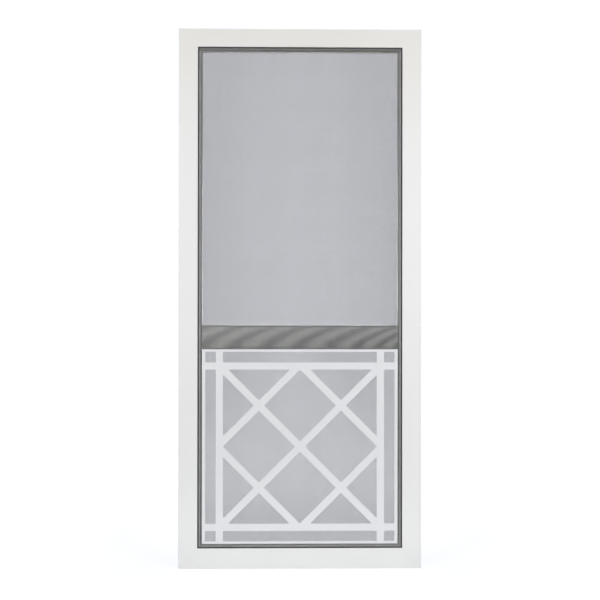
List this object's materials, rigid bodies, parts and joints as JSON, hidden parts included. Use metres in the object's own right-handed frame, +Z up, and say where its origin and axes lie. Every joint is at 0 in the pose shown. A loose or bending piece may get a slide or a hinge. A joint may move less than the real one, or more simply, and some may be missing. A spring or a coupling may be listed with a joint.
{
  "type": "vinyl screen door",
  "caption": "White vinyl screen door leaf with mitred hollow stiles and rails, a mid rail, a charcoal insect screen held by spline, and a lattice panel in the lower bay.",
  "frame": {"origin": "on the hinge edge, at the bottom of the leaf, in the middle of its thickness", "axes": "+X across the leaf towards the latch edge, +Y from the screened front to the plain back, +Z up"},
  "size_m": [0.9144, 0.0286, 2.032],
  "materials": {
    "white_vinyl": "satin",
    "lattice_vinyl": "matte",
    "charcoal_screen": "matte",
    "spline_vinyl": "matte"
  },
  "bodies": {
    "root": {"left_stile": "white_vinyl", "right_stile": "white_vinyl", "top_rail": "white_vinyl", "bottom_rail": "white_vinyl", "mid_rail": "white_vinyl", "screen_mesh": "charcoal_screen", "spline_left": "spline_vinyl", "spline_right": "spline_vinyl", "spline_top": "spline_vinyl", "spline_bottom": "spline_vinyl", "lattice_panel": "lattice_vinyl"}
  },
  "joints": []
}
